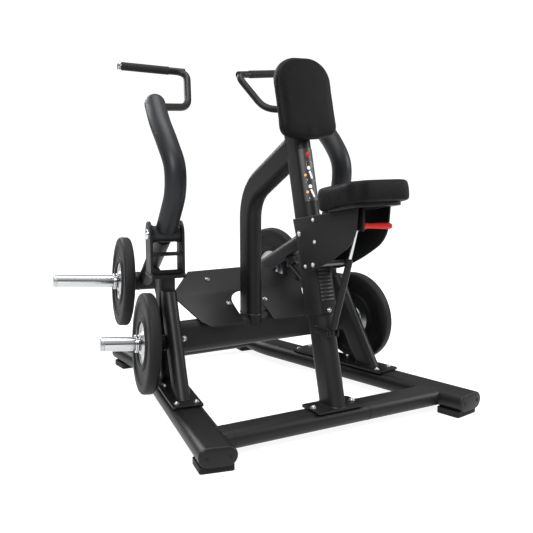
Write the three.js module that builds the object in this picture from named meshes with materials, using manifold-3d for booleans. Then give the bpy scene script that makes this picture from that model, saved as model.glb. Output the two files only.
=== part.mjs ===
// Plate-loaded seated row machine with two independent lever arms.
// Millimetres, +Z up. The user sits at the -Y end, faces +Y and pulls the grips back.
import * as THREE from "three";
import { mergeVertices } from "three/addons/utils/BufferGeometryUtils.js";
import Module from "manifold-3d";

const wasm = await Module();
wasm.setup();

// ---------- driving dimensions ----------
const GAP = 0.3; // clearance left between touching pieces
const CUT = 0.4; // how far a cutter is grown past the piece it stands for
const RUN = 1; // running clearance in a bore, on the radius
const HALF_LENGTH = 570; // from the leg ends at the rear to the middle of the part
const HALF_TRACK = 492; // centre plane to a leg's centre line, at the rear ends
const SPLAY = THREE.MathUtils.degToRad(11.8); // each side frame closes in going forward

const TUBE_W = 120; // the frame's flat oval tube
const TUBE_T = 60;
const FOOT_H = 22;
const LEG_Z = FOOT_H + TUBE_T / 2;
const LEG_TOP = FOOT_H + TUBE_T;
const LEG_STRAIGHT = 1040; // along the leg, to its bend
const LEG_END = 248; // beyond the bend
const LEG_BEND = THREE.MathUtils.degToRad(14); // turned back outward
const CAP_T = 8;
const PLATE_T = 8; // base plates

const REAR_TUBE_Y = 125;
const CROSS_W = 106;
const FRONT_TUBE_Y = 1184;

const POST_S = 700; // places along a side frame are called s
const POST_DEPTH = 110;
const POST_TOP = 470;
const BRACE_W = 50;
const BRACE_DEPTH = 90;
const BRACE_FOOT_S = 465;
const BRACE_RISE = 314 / 180; // height gained for each millimetre forward
const BRACE_TOP = 425;

const PIVOT_S = 690;
const PIVOT_Z = 622;
const BRACKET_GAP = 104; // between the two cheeks
const CHEEK_T = 10;
const CHEEK_DEPTH = 92;
const SHAFT_R = 15;
const BARREL_R = 30;
const ARM_R = 38;
const ARM_TOP = 1080;
const WORK_S = 1100; // the working horn
const WORK_Z = 386;
const WEIGHT_ARM_R = 31;
const BOSS_R = 37;
const STOP_REACH = 262; // pivot to the bumper, along the weight arm
const BUMPER_T = 26;

const STORE_S = 612; // the storage horn
const STORE_Z = 245;
const HORN_R = 25;
const DISC_R = 178;
const DISC_T = 42;
const DISC_IN = 67; // side plane to a disc's inner face
const DISC_BORE = 26;
const HUB_R = 116;
const RIM_R = 150;
const HORN_TILT = THREE.MathUtils.degToRad(3.5); // tips raised, so that discs stay on
const HORN_SEAT = 3; // a boss's end to the disc, which the tilt needs
const HORNS = [["work", WORK_S, WORK_Z, 300], ["storage", STORE_S, STORE_Z, 186]];
const COLLAR_T = 18;
const COLLAR_R = 39;

const HANDLE_R = 13;
const GRIP_R = 16;

const BEAM_Y = 668;
const BEAM_Z = 240;
const FOOT_LOW_Y = 606; // the footplate's lower edge
const FOOT_LOW_Z = 272;
const FOOT_SLOPE = 0.6;
const MID_W = 104; // the middle's tubes are slimmer
const MAST_Y = 676;
const MAST_BEND_Z = 752;
const MAST_SLOPE = 0.55; // height gained for each millimetre back, above the bend
const COLUMN_FOOT = new THREE.Vector2(128, 90); // y, z
const COLUMN_LEAN = 0.261; // forward for each millimetre up
const COLUMN_TOP = 1165;
const PAD_Z = 1066;

const SEAT_PIVOT = new THREE.Vector2(240, 648);
const SEAT_TILT = THREE.MathUtils.degToRad(-10);
const SEAT_MID = new THREE.Vector2(-24, 747); // middle of the seat board's top
const FAN_X = 60;
const FAN_T = 6;
const PIN_R = 10;

const GAS_X = -14;
const GAS_FOOT = new THREE.Vector2(114, 335);
const GAS_HEAD = new THREE.Vector2(-24, 728);
const GAS_TUBE = 268; // foot to the top of the cylinder
const GAS_REACH = 392; // foot to the rod's head
const GAS_BORE_R = 6.5;

// ---------- materials ----------
const finish = (color, roughness, metalness) =>
  new THREE.MeshStandardMaterial({ color, roughness, metalness });
const FRAME = finish(0x26282a, 0.5, 0.55);
const ARM = finish(0x2f333a, 0.42, 0.6);
const RUBBER = finish(0x141415, 0.85, 0);
const VINYL = finish(0x101011, 0.65, 0);
const CHROME = finish(0xd4d6d8, 0.18, 1);
const STEEL = finish(0x9a9c9e, 0.35, 0.9);
const RED = finish(0xc01812, 0.4, 0);
const LABEL = finish(0xb8bbbd, 0.6, 0);

// ---------- outlines, sweeps and cuts ----------
const V = (x, y, z) => new THREE.Vector3(x, y, z);

/** A flat oval, `long` by `wide`, with its long side along x or along y. */
function oval(long, wide, alongY = false) {
  const r = wide / 2;
  const half = long / 2 - r;
  const shape = new THREE.Shape();
  if (alongY) {
    shape.absarc(0, half, r, 0, Math.PI);
    shape.absarc(0, -half, r, Math.PI, 2 * Math.PI);
  } else {
    shape.absarc(half, 0, r, -Math.PI / 2, Math.PI / 2);
    shape.absarc(-half, 0, r, Math.PI / 2, (3 * Math.PI) / 2);
  }
  return shape;
}

function disc(radius) {
  const shape = new THREE.Shape();
  shape.absarc(0, 0, radius, 0, 2 * Math.PI);
  return shape;
}

function hole(x, y, radius) {
  const path = new THREE.Path();
  path.absarc(x, y, radius, 0, 2 * Math.PI, true);
  return path;
}

function roundedRect(width, height, radius) {
  const x = width / 2 - radius;
  const y = height / 2 - radius;
  const shape = new THREE.Shape();
  shape.absarc(x, y, radius, 0, Math.PI / 2);
  shape.absarc(-x, y, radius, Math.PI / 2, Math.PI);
  shape.absarc(-x, -y, radius, Math.PI, 1.5 * Math.PI);
  shape.absarc(x, -y, radius, 1.5 * Math.PI, 2 * Math.PI);
  return shape;
}

/** Sweeps a section along a flat path; the section's y stays along `across`. */
function sweep(shape, path, across, steps, curveSegments = 4) {
  path.computeFrenetFrames = (n) => {
    const frames = { tangents: [], normals: [], binormals: [] };
    for (let i = 0; i <= n; i += 1) {
      const tangent = path.getTangentAt(i / n);
      frames.tangents.push(tangent);
      frames.normals.push(across.clone().cross(tangent).normalize());
      frames.binormals.push(across.clone());
    }
    return frames;
  };
  return new THREE.ExtrudeGeometry(shape, { steps, curveSegments, extrudePath: path });
}

const straight = (a, b) => new THREE.LineCurve3(a, b);

/** An outline drawn in y and z, made `thick` along x about x = middle. */
function slabX(shape, thick, middle, curveSegments = 5) {
  const geometry = new THREE.ExtrudeGeometry(shape, {
    depth: thick, bevelEnabled: false, curveSegments,
  });
  geometry.rotateX(Math.PI / 2).rotateZ(Math.PI / 2);
  return geometry.translate(middle - thick / 2, 0, 0);
}

/** An outline drawn in x and y, made `thick` upwards from z = bottom. */
function slabZ(shape, thick, bottom, curveSegments = 4) {
  const geometry = new THREE.ExtrudeGeometry(shape, {
    depth: thick, bevelEnabled: false, curveSegments,
  });
  return geometry.translate(0, 0, bottom);
}

function block(x0, x1, y0, y1, z0, z1) {
  const geometry = new THREE.BoxGeometry(x1 - x0, y1 - y0, z1 - z0);
  return geometry.translate((x0 + x1) / 2, (y0 + y1) / 2, (z0 + z1) / 2);
}

/** A round bar along x from x0 to x1, at y and z. */
function barX(radius, x0, x1, y, z, sides = 16) {
  const geometry = new THREE.CylinderGeometry(radius, radius, x1 - x0, sides);
  return geometry.rotateZ(Math.PI / 2).translate((x0 + x1) / 2, y, z);
}

function solid(geometry) {
  const plain = geometry.index ? geometry.toNonIndexed() : geometry.clone();
  for (const name of ["normal", "uv", "color"]) plain.deleteAttribute(name);
  const merged = mergeVertices(plain, 1e-4);
  return new wasm.Manifold(new wasm.Mesh({
    numProp: 3,
    vertProperties: new Float32Array(merged.attributes.position.array),
    triVerts: new Uint32Array(merged.index.array),
  }));
}

function fromSolid(body) {
  const mesh = body.getMesh();
  const geometry = new THREE.BufferGeometry();
  geometry.setAttribute("position", new THREE.BufferAttribute(mesh.vertProperties, 3));
  geometry.setIndex(new THREE.BufferAttribute(mesh.triVerts, 1));
  geometry.computeVertexNormals();
  return geometry;
}

const join = (first, ...others) =>
  fromSolid(others.reduce((body, other) => body.add(solid(other)), solid(first)));
const trim = (first, ...cutters) =>
  fromSolid(cutters.reduce((body, cutter) => body.subtract(solid(cutter)), solid(first)));

// ---------- scene graph ----------
const part = new THREE.Group();
part.name = "plate_loaded_row";
const machine = new THREE.Group();
machine.position.y = -HALF_LENGTH;
part.add(machine);

function piece(parent, name, geometry, material) {
  const mesh = new THREE.Mesh(geometry, material);
  mesh.name = name;
  parent.add(mesh);
  return mesh;
}

const SIDES = [["left", -1], ["right", 1]];

/** The frame of one side: y runs forward along the leg, x points right. */
function sideFrame(sign) {
  const group = new THREE.Group();
  group.position.set(sign * HALF_TRACK, 0, 0);
  group.rotation.z = sign * SPLAY;
  group.updateMatrix();
  return group;
}

// ---------- base ----------
function legPath(sign) {
  const path = new THREE.CurvePath();
  const knee = V(0, LEG_STRAIGHT, LEG_Z);
  const along = V(sign * Math.sin(LEG_BEND), Math.cos(LEG_BEND), 0);
  const before = V(0, LEG_STRAIGHT - 60, LEG_Z);
  const after = knee.clone().addScaledVector(along, 60);
  const end = knee.clone().addScaledVector(along, LEG_END);
  path.add(straight(V(0, 0, LEG_Z), before));
  path.add(new THREE.QuadraticBezierCurve3(before, knee, after));
  path.add(straight(after, end));
  return { path, along, end };
}

function leg(sign, grow = 0) {
  const section = oval(TUBE_W + 2 * grow, TUBE_T + 2 * grow);
  return sweep(section, legPath(sign).path, V(0, 0, 1), 8);
}

function addBase() {
  const cutters = [];
  for (const [side, sign] of SIDES) {
    const frame = sideFrame(sign);
    machine.add(frame);
    piece(frame, `leg_${side}`, leg(sign), FRAME);
    cutters.push(leg(sign, CUT).applyMatrix4(frame.matrix));
    const { along, end } = legPath(sign);
    const ends = [
      ["rear", V(0, 0, LEG_Z), V(0, -1, 0)],
      ["front", end, along],
    ];
    for (const [place, at, out] of ends) {
      const from = at.clone().addScaledVector(out, GAP);
      const to = at.clone().addScaledVector(out, GAP + CAP_T);
      const cap = sweep(oval(TUBE_W, TUBE_T), straight(from, to), V(0, 0, 1), 1);
      piece(frame, `leg_cap_${place}_${side}`, cap, RUBBER);
      const foot = piece(frame, `foot_${place}_${side}`, footBlock(), RUBBER);
      foot.position.copy(at).addScaledVector(out, -52).setZ(0);
      foot.rotation.z = Math.atan2(-out.x, out.y);
    }
  }
  for (const [name, y] of [["cross_tube_rear", REAR_TUBE_Y], ["cross_tube_front", FRONT_TUBE_Y]]) {
    const half = y === REAR_TUBE_Y ? 465 : 262;
    const path = straight(V(-half, y, LEG_Z), V(half, y, LEG_Z));
    piece(machine, name, trim(sweep(oval(CROSS_W, TUBE_T), path, V(0, 0, 1), 1), ...cutters), FRAME);
  }
}

const footBlock = () => slabZ(roundedRect(108, 92, 8), FOOT_H - GAP, 0, 3);

// ---------- side posts ----------
const postSection = (grow = 0) =>
  slabZ(oval(POST_DEPTH + 2 * grow, TUBE_T + 2 * grow, true), POST_TOP - GAP - LEG_TOP - 4, LEG_TOP + 4)
    .translate(0, POST_S, 0);

function post() {
  const foot = slabZ(roundedRect(104, 216, 10), PLATE_T, LEG_TOP + GAP, 3).translate(0, 727, 0);
  return join(foot, postSection());
}

function brace(sign) {
  const reach = 230;
  const low = V(0, BRACE_FOOT_S - 30, LEG_TOP + 4 - 30 * BRACE_RISE);
  const high = V(0, BRACE_FOOT_S + reach, LEG_TOP + 4 + reach * BRACE_RISE);
  const tube = sweep(oval(BRACE_DEPTH, BRACE_W), straight(low, high), V(1, 0, 0), 1);
  const trimmed = trim(
    tube,
    postSection(CUT),
    block(-100, 100, 300, 900, -100, LEG_TOP + 4),
    block(-100, 100, 300, 900, BRACE_TOP, 800),
    block(-100, 100, POST_S - 25, 1100, 0, 800),
  );
  const foot = slabZ(roundedRect(104, 256, 10), PLATE_T, LEG_TOP + GAP, 3).translate(0, 484, 0);
  const web = block(-6, 6, STORE_S - 40, POST_S - POST_DEPTH / 2 - GAP, STORE_Z - 40, STORE_Z + 40);
  const reachOut = DISC_IN - 1;
  const boss = barX(26, sign > 0 ? -6 : -reachOut, sign > 0 ? reachOut : 6, STORE_S, STORE_Z);
  return join(foot, trimmed, web, boss);
}

/** A turned frame at the root of a horn: its x is the horn's own line. */
function hornFrame(parent, sign, s, z) {
  const group = new THREE.Group();
  group.position.set(sign * (DISC_IN - 1), s, z);
  group.rotation.y = -sign * HORN_TILT;
  parent.add(group);
  return group;
}

const horn = (sign, length) =>
  barX(HORN_R, sign > 0 ? HORN_SEAT : -length, sign > 0 ? length : -HORN_SEAT, 0, 0, 20);

/** One weight disc: a recessed web, a raised rim and a plain bore. */
function weightDisc(sign) {
  const t = DISC_T / 2;
  const web = t - 6;
  const points = [
    [DISC_BORE, -t], [HUB_R, -t], [HUB_R + 8, -web], [RIM_R - 8, -web], [RIM_R, -t], [DISC_R, -t],
    [DISC_R, t], [RIM_R, t], [RIM_R - 8, web], [HUB_R + 8, web], [HUB_R, t], [DISC_BORE, t],
    [DISC_BORE, -t],
  ].map(([x, y]) => new THREE.Vector2(x, y));
  const geometry = new THREE.LatheGeometry(points, 22);
  return geometry.rotateZ(Math.PI / 2).translate(sign * (HORN_SEAT + t), 0, 0);
}

function collar(sign) {
  const ring = disc(COLLAR_R);
  ring.holes.push(hole(0, 0, HORN_R + 1));
  return slabX(ring, COLLAR_T, sign * (HORN_SEAT + DISC_T + GAP + COLLAR_T / 2), 8);
}

// ---------- pivot bracket and arms ----------
function bracket() {
  const outer = BRACKET_GAP / 2 + CHEEK_T;
  const r = CHEEK_DEPTH / 2;
  const cheek = new THREE.Shape();
  cheek.moveTo(-r, POST_TOP + 4);
  cheek.lineTo(r, POST_TOP + 4);
  cheek.lineTo(r, PIVOT_Z);
  cheek.absarc(0, PIVOT_Z, r, 0, Math.PI);
  cheek.holes.push(hole(0, PIVOT_Z, SHAFT_R + RUN));
  const base = slabZ(roundedRect(2 * outer, 128, 10), 12, POST_TOP, 3);
  const cheeks = [-1, 1].map((sign) => slabX(cheek, CHEEK_T, sign * (outer - CHEEK_T / 2), 6));
  const rearShelf = block(-outer + 2, outer - 2, -r + 6, -r + 14, POST_TOP + 4, POST_TOP + 26);
  const shelf = block(-outer + 2, outer - 2, -r + 2, -2, 548, 557);
  return join(base, ...cheeks, rearShelf, shelf).translate(0, PIVOT_S, 0);
}

function pivotShaft() {
  const half = BRACKET_GAP / 2 + CHEEK_T + GAP;
  const pin = barX(SHAFT_R, -half - 4, half + 4, 0, 0);
  const heads = [-1, 1].map((sign) =>
    barX(19, sign * (half + 3.5) - 3.5, sign * (half + 3.5) + 3.5, 0, 0));
  return join(pin, ...heads).translate(0, PIVOT_S, PIVOT_Z);
}

/** The bowed lever, with the barrel that turns on the pivot shaft. */
function arm(sign) {
  const bow = (inward, s, z) => V(-sign * inward, s, z);
  const curve = new THREE.CatmullRomCurve3([
    bow(0, 690, 622), bow(9, 640, 690), bow(20, 600, 775), bow(20, 600, 862),
    bow(9, 656, 940), bow(0, 740, 1014), bow(0, 822, ARM_TOP),
  ], false, "centripetal");
  const tube = sweep(disc(ARM_R), curve, V(1, 0, 0), 12, 6);
  const end = new THREE.SphereGeometry(ARM_R, 12, 6).translate(0, 822, ARM_TOP);
  const half = BRACKET_GAP / 2 - 1;
  const barrel = barX(BARREL_R, -half, half, PIVOT_S, PIVOT_Z);
  const bore = barX(SHAFT_R + RUN, -80, 80, PIVOT_S, PIVOT_Z);
  const below = block(-80, 80, PIVOT_S - 80, PIVOT_S + 80, PIVOT_Z - 80, PIVOT_Z);
  return trim(join(trim(tube, below), end, barrel), bore);
}

/** The short lever that runs forward and down to the working horn. */
function weightArm(sign) {
  const from = new THREE.Vector2(PIVOT_S, PIVOT_Z);
  const to = new THREE.Vector2(WORK_S, WORK_Z);
  const a = from.clone().lerp(to, 0.09);
  const tube = sweep(disc(WEIGHT_ARM_R), straight(V(0, a.x, a.y), V(0, to.x, to.y)), V(1, 0, 0), 1, 8);
  const reach = DISC_IN - 1;
  const boss = barX(BOSS_R, sign > 0 ? -36 : -reach, sign > 0 ? reach : 36, WORK_S, WORK_Z, 20);
  const clear = barX(BARREL_R + CUT, -90, 90, PIVOT_S, PIVOT_Z);
  return join(trim(tube, clear), boss);
}

/** A point on the underside of the weight arm, pushed `drop` further away from it. */
function underWeightArm(drop) {
  const way = new THREE.Vector2(WORK_S - PIVOT_S, WORK_Z - PIVOT_Z).normalize();
  const away = new THREE.Vector2(way.y, -way.x);
  const at = new THREE.Vector2(PIVOT_S, PIVOT_Z).addScaledVector(way, STOP_REACH);
  at.addScaledVector(away, WEIGHT_ARM_R + drop);
  return V(0, at.x, at.y);
}

/** The stop: a round arm from the post with a seat for the bumper. */
function stop() {
  const seat = straight(underWeightArm(BUMPER_T + 2 * GAP), underWeightArm(BUMPER_T + 9));
  const bar = straight(V(0, POST_S + 40, 330), underWeightArm(BUMPER_T + 8));
  const across = V(1, 0, 0);
  return join(sweep(disc(14), bar, across, 1, 6), sweep(disc(26), seat, across, 1, 8));
}

function bumper() {
  const path = straight(underWeightArm(GAP), underWeightArm(BUMPER_T + GAP));
  return sweep(disc(22), path, V(1, 0, 0), 1, 8);
}

function roundedPath(points, radius) {
  const path = new THREE.CurvePath();
  let last = points[0];
  for (let i = 1; i < points.length - 1; i += 1) {
    const corner = points[i];
    const back = last.clone().sub(corner).normalize().multiplyScalar(radius).add(corner);
    const ahead = points[i + 1].clone().sub(corner).normalize().multiplyScalar(radius).add(corner);
    path.add(straight(last, back));
    path.add(new THREE.QuadraticBezierCurve3(back, corner, ahead));
    last = ahead;
  }
  path.add(straight(last, points.at(-1)));
  return path;
}

/** Corners of the bent handle, from the arm inward, up and forward, then out to the grip. */
function handlePoints(sign) {
  return [
    V(sign * -18, 806, 1070), V(sign * -142, 905, 1074),
    V(sign * -172, 1040, 1213), V(sign * -118, 1044, 1217),
  ];
}

const GRIP_RISE = 0.07;

function gripPoint(sign, off) {
  return V(sign * off, 1044, 1217 + (off + 118) * GRIP_RISE);
}

function roundBar(radius, path, steps, sides) {
  const section = [];
  for (let i = 0; i < sides; i += 1) {
    const turn = (2 * Math.PI * i) / sides;
    section.push(new THREE.Vector2(radius * Math.cos(turn), radius * Math.sin(turn)));
  }
  return new THREE.ExtrudeGeometry(new THREE.Shape(section), { steps, extrudePath: path });
}

function armSkin() {
  const curve = straight(V(0, 700, ARM_TOP - 106), V(0, 822, ARM_TOP));
  const tube = sweep(disc(ARM_R + RUN), curve, V(1, 0, 0), 1, 8);
  return join(tube, new THREE.SphereGeometry(ARM_R + RUN, 12, 6).translate(0, 822, ARM_TOP));
}

function handle(sign) {
  const points = handlePoints(sign);
  points.push(gripPoint(sign, 86));
  points[3] = gripPoint(sign, -118);
  return trim(roundBar(HANDLE_R, roundedPath(points, 34), 20, 8), armSkin());
}

function grip(sign) {
  const path = straight(gripPoint(sign, -100), gripPoint(sign, 82));
  const core = straight(gripPoint(sign, -130), gripPoint(sign, 112));
  return trim(roundBar(GRIP_R, path, 1, 14), roundBar(HANDLE_R + RUN, core, 1, 14));
}

function gripCap(sign) {
  return roundBar(GRIP_R, straight(gripPoint(sign, 86.5), gripPoint(sign, 98)), 1, 14);
}

function addSides() {
  for (const [side, sign] of SIDES) {
    const frame = sideFrame(sign);
    machine.add(frame);
    piece(frame, `post_${side}`, join(post(), stop()), FRAME);
    piece(frame, `brace_${side}`, brace(sign), FRAME);
    piece(frame, `pivot_bracket_${side}`, bracket(), FRAME);
    piece(frame, `pivot_shaft_${side}`, pivotShaft(), CHROME);
    piece(frame, `arm_${side}`, arm(sign), ARM);
    piece(frame, `weight_arm_${side}`, weightArm(sign), ARM);
    piece(frame, `handle_${side}`, handle(sign), FRAME);
    piece(frame, `grip_${side}`, grip(sign), RUBBER);
    piece(frame, `grip_cap_${side}`, gripCap(sign), CHROME);
    for (const [use, s, z, length] of HORNS) {
      const root = hornFrame(frame, sign, s, z);
      piece(root, `${use}_horn_${side}`, horn(sign, length), CHROME);
      piece(root, `${use}_disc_${side}`, weightDisc(sign), RUBBER);
      piece(root, `${use}_collar_${side}`, collar(sign), STEEL);
    }
    piece(frame, `stop_bumper_${side}`, bumper(), RUBBER);
  }
}

// ---------- middle ----------
const columnAt = (z) => V(0, COLUMN_FOOT.x + COLUMN_LEAN * (z - COLUMN_FOOT.y), z);
const COLUMN_ANGLE = Math.atan(COLUMN_LEAN);

function columnTube(grow = 0) {
  const path = straight(columnAt(40), columnAt(COLUMN_TOP));
  return sweep(oval(MID_W + 2 * grow, TUBE_T + 2 * grow), path, V(1, 0, 0), 1);
}

/** Where the chest pad's plate lies on the rear of the column, its z pointing back. */
function padMount() {
  const at = columnAt(PAD_Z).add(V(0, -MID_W / 2 / Math.cos(COLUMN_ANGLE), 0));
  const turn = new THREE.Matrix4().makeRotationX(Math.PI / 2 - COLUMN_ANGLE);
  return turn.setPosition(at);
}

function column() {
  const floor = block(-200, 200, 0, 400, 0, LEG_TOP + 4);
  const tube = trim(columnTube(), floor);
  const foot = slabZ(roundedRect(188, 104, 12), PLATE_T, LEG_TOP + GAP, 3)
    .translate(0, REAR_TUBE_Y, 0);
  const lugs = [GAS_X - 15, GAS_X + 15].map((x) =>
    block(x - 3, x + 3, GAS_FOOT.x - 12, GAS_FOOT.x + 80, GAS_FOOT.y - 14, GAS_FOOT.y + 14));
  const pinBore = barX(5 + RUN / 2, -50, 50, GAS_FOOT.x, GAS_FOOT.y, 12);
  const board = slabZ(roundedRect(140, 230, 30), 8, -4, 3).applyMatrix4(padMount());
  const bore = barX(PIN_R + RUN, -80, 80, SEAT_PIVOT.x, SEAT_PIVOT.y);
  return trim(join(foot, tube, ...lugs, board), bore, pinBore);
}

function beam(posts) {
  const path = straight(V(-345, BEAM_Y, BEAM_Z), V(345, BEAM_Y, BEAM_Z));
  return trim(sweep(oval(TUBE_W, TUBE_T), path, V(0, 1, 0), 1), ...posts);
}

function mast() {
  const foot = V(0, MAST_Y, BEAM_Z + TUBE_W / 2 - 40);
  const bend = V(0, MAST_Y, MAST_BEND_Z);
  const top = V(0, MAST_Y - 290, MAST_BEND_Z + 290 * MAST_SLOPE);
  const path = roundedPath([foot, bend, top], 100);
  const tube = sweep(oval(MID_W, TUBE_T), path, V(1, 0, 0), 9);
  const beamSkin = sweep(
    oval(TUBE_W + 2 * CUT, TUBE_T + 2 * CUT),
    straight(V(-200, BEAM_Y, BEAM_Z), V(200, BEAM_Y, BEAM_Z)), V(0, 1, 0), 1,
  );
  const lower = block(-100, 100, 500, 900, 0, BEAM_Z + 30);
  const behind = block(-60, 60, -10, 10, -200, 200).applyMatrix4(new THREE.Matrix4()
    .makeTranslation(0, columnAt(960).y, 960)
    .multiply(new THREE.Matrix4().makeRotationX(-COLUMN_ANGLE)));
  return trim(tube, lower, beamSkin, columnTube(CUT), behind);
}

/** Louvred cover: a U that wraps the rear of the column. */
function columnCover() {
  const inner = TUBE_T / 2 + GAP;
  const outer = inner + 3;
  const rear = MID_W / 2 + 3;
  const shape = new THREE.Shape();
  shape.moveTo(-40, -inner);
  shape.lineTo(-40, -outer);
  shape.lineTo(rear - 6, -outer);
  shape.lineTo(rear + 1, 7 - outer);
  shape.lineTo(rear + 1, outer - 7);
  shape.lineTo(rear - 6, outer);
  shape.lineTo(-40, outer);
  shape.lineTo(-40, inner);
  shape.lineTo(rear - 7, inner);
  shape.lineTo(rear - 2, inner - 5);
  shape.lineTo(rear - 2, 5 - inner);
  shape.lineTo(rear - 7, -inner);
  const cover = sweep(shape, straight(columnAt(378), columnAt(556)), V(1, 0, 0), 1);
  const slots = [];
  for (let i = 0; i < 9; i += 1) {
    const mid = columnAt(412 + i * 15);
    slots.push(block(-19, 19, mid.y - 74, mid.y - 40, mid.z + 12, mid.z + 17));
  }
  return trim(cover, ...slots);
}

/** Instruction placard, curved to the rear of the column. */
function placard() {
  const r = TUBE_T / 2 + GAP;
  const spread = 1.05;
  const shape = new THREE.Shape();
  const mid = (MID_W - TUBE_T) / 2;
  shape.absarc(mid, 0, r + 2, -spread, spread);
  shape.absarc(mid, 0, r, spread, -spread, true);
  return sweep(shape, straight(columnAt(742), columnAt(912)), V(1, 0, 0), 1);
}

const footplateZ = (y) => FOOT_LOW_Z + (y - FOOT_LOW_Y) * FOOT_SLOPE;

/** One inclined plate with a wing for each foot, notched round the mast. */
function footplate() {
  const half = [[168, 880], [286, 772], [230, 636]];
  const shape = new THREE.Shape();
  shape.moveTo(-half[0][0], half[0][1]);
  for (const [x, y] of half.slice(1)) shape.lineTo(-x, y);
  shape.quadraticCurveTo(-216, FOOT_LOW_Y, -188, FOOT_LOW_Y);
  shape.lineTo(-62, FOOT_LOW_Y);
  shape.lineTo(-62, 700);
  shape.absarc(0, 700, 62, Math.PI, 0, true);
  shape.lineTo(62, FOOT_LOW_Y);
  shape.lineTo(188, FOOT_LOW_Y);
  shape.quadraticCurveTo(216, FOOT_LOW_Y, 230, 636);
  for (const [x, y] of half.slice(0, 2).reverse()) shape.lineTo(x, y);
  const plate = slabZ(shape, 6, 0, 5);
  const shear = new THREE.Matrix4().set(
    1, 0, 0, 0,
    0, 1, 0, 0,
    0, FOOT_SLOPE, 1, footplateZ(0),
    0, 0, 0, 1,
  );
  return plate.applyMatrix4(shear);
}

/** Stays under the footplate: two bars from the beam, tied together at the front. */
function footplateStays() {
  const under = (y) => footplateZ(y) - GAP;
  const side = new THREE.Shape();
  side.moveTo(BEAM_Y, 236);
  side.lineTo(BEAM_Y, under(BEAM_Y));
  side.lineTo(862, under(862));
  side.lineTo(862, under(862) - 26);
  const bars = [-92, 92].map((x) => slabX(side, 34, x));
  const tie = new THREE.Shape();
  tie.moveTo(832, under(832));
  tie.lineTo(862, under(862));
  tie.lineTo(862, under(862) - 26);
  tie.lineTo(832, under(832) - 26);
  const beamSkin = sweep(
    oval(TUBE_W + 2 * CUT, TUBE_T + 2 * CUT),
    straight(V(-330, BEAM_Y, BEAM_Z), V(330, BEAM_Y, BEAM_Z)), V(0, 1, 0), 1,
  );
  const behind = block(-200, 200, BEAM_Y - 60, BEAM_Y, 100, 400);
  return trim(join(...bars, slabX(tie, 200, 0)), beamSkin, behind);
}

/** A rounded cushion, drawn as an outline and given soft edges. */
function cushion(shape, thick, round) {
  const geometry = new THREE.ExtrudeGeometry(shape, {
    depth: thick - 2 * round, bevelEnabled: true, bevelSize: round, bevelThickness: round,
    bevelSegments: 2, curveSegments: 4,
  });
  return geometry.translate(0, 0, round);
}

/** The chest pad is rounder at its top (its +y end here), and bows down a little below. */
function chestPad() {
  const round = 14;
  const w = 223 / 2 - round;
  const h = 290 / 2 - round;
  const big = 74;
  const small = 24;
  const bow = 14;
  const shape = new THREE.Shape();
  shape.absarc(w - big, h - big, big, 0, Math.PI / 2);
  shape.absarc(big - w, h - big, big, Math.PI / 2, Math.PI);
  shape.absarc(small - w, small + bow - h, small, Math.PI, 1.4 * Math.PI);
  shape.quadraticCurveTo(0, -h - bow / 2, w - small + 8, bow - h + 1);
  shape.absarc(w - small, small + bow - h, small, 1.6 * Math.PI, 2 * Math.PI);
  return cushion(shape, 44, round);
}

function pad(width, length, thick, corner) {
  const round = thick * 0.25;
  return cushion(roundedRect(width - 2 * round, length - 2 * round, corner), thick, round);
}

function addMiddle() {
  const postSkins = SIDES.map(([, sign]) => postSection(CUT).applyMatrix4(sideFrame(sign).matrix));
  piece(machine, "cross_beam", beam(postSkins), FRAME);
  piece(machine, "mast", mast(), FRAME);
  piece(machine, "column", column(), FRAME);
  piece(machine, "column_cover", columnCover(), FRAME);
  piece(machine, "placard", placard(), LABEL);
  piece(machine, "footplate", footplate(), FRAME);
  piece(machine, "footplate_stays", footplateStays(), FRAME);
  const mount = new THREE.Group();
  padMount().decompose(mount.position, mount.quaternion, mount.scale);
  machine.add(mount);
  piece(mount, "chest_pad", chestPad(), VINYL).position.z = 4 + GAP;
}

// ---------- seat ----------
const underBoard = (y) => SEAT_MID.y + (y - SEAT_MID.x) * Math.tan(SEAT_TILT) - GAP;

/** One side of the seat's carrier; the left one also holds the bar between the two. */
function fanPlate(sign) {
  const shape = new THREE.Shape();
  shape.moveTo(280, underBoard(280));
  shape.lineTo(-74, underBoard(-74));
  shape.lineTo(-70, 712);
  shape.quadraticCurveTo(-66, 656, -14, 624);
  shape.quadraticCurveTo(96, 556, 190, 531);
  shape.lineTo(222, 529);
  shape.holes.push(hole(SEAT_PIVOT.x, SEAT_PIVOT.y, PIN_R + RUN));
  const plate = slabX(shape, FAN_T, sign * FAN_X, 6);
  const inner = FAN_X - FAN_T / 2;
  return sign > 0 ? plate : join(plate, barX(9, 1 - inner - FAN_T, inner - GAP, 156, 556));
}

/** The seat's board, with a fork beneath it for the gas spring and a lug for the lever. */
function seatBoard() {
  const board = slabZ(roundedRect(170, 180, 30), 12, 0, 4);
  const turn = new THREE.Matrix4().makeTranslation(0, SEAT_MID.x, SEAT_MID.y)
    .multiply(new THREE.Matrix4().makeRotationX(SEAT_TILT)).invert();
  const head = alongGas(GAS_REACH);
  const cheeks = [GAS_X - 12, GAS_X + 12].map((x) =>
    block(x - 3, x + 3, head.y - 14, head.y + 14, head.z - 12, underBoard(head.y) + 6)
      .applyMatrix4(turn));
  const lug = block(-46, -40, -80, -46, 686, underBoard(-80) + 2).applyMatrix4(turn);
  const bore = barX(5 + 2 * RUN, GAS_X - 30, GAS_X + 30, head.y, head.z, 12).applyMatrix4(turn);
  return trim(join(board, ...cheeks, lug), bore);
}

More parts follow.
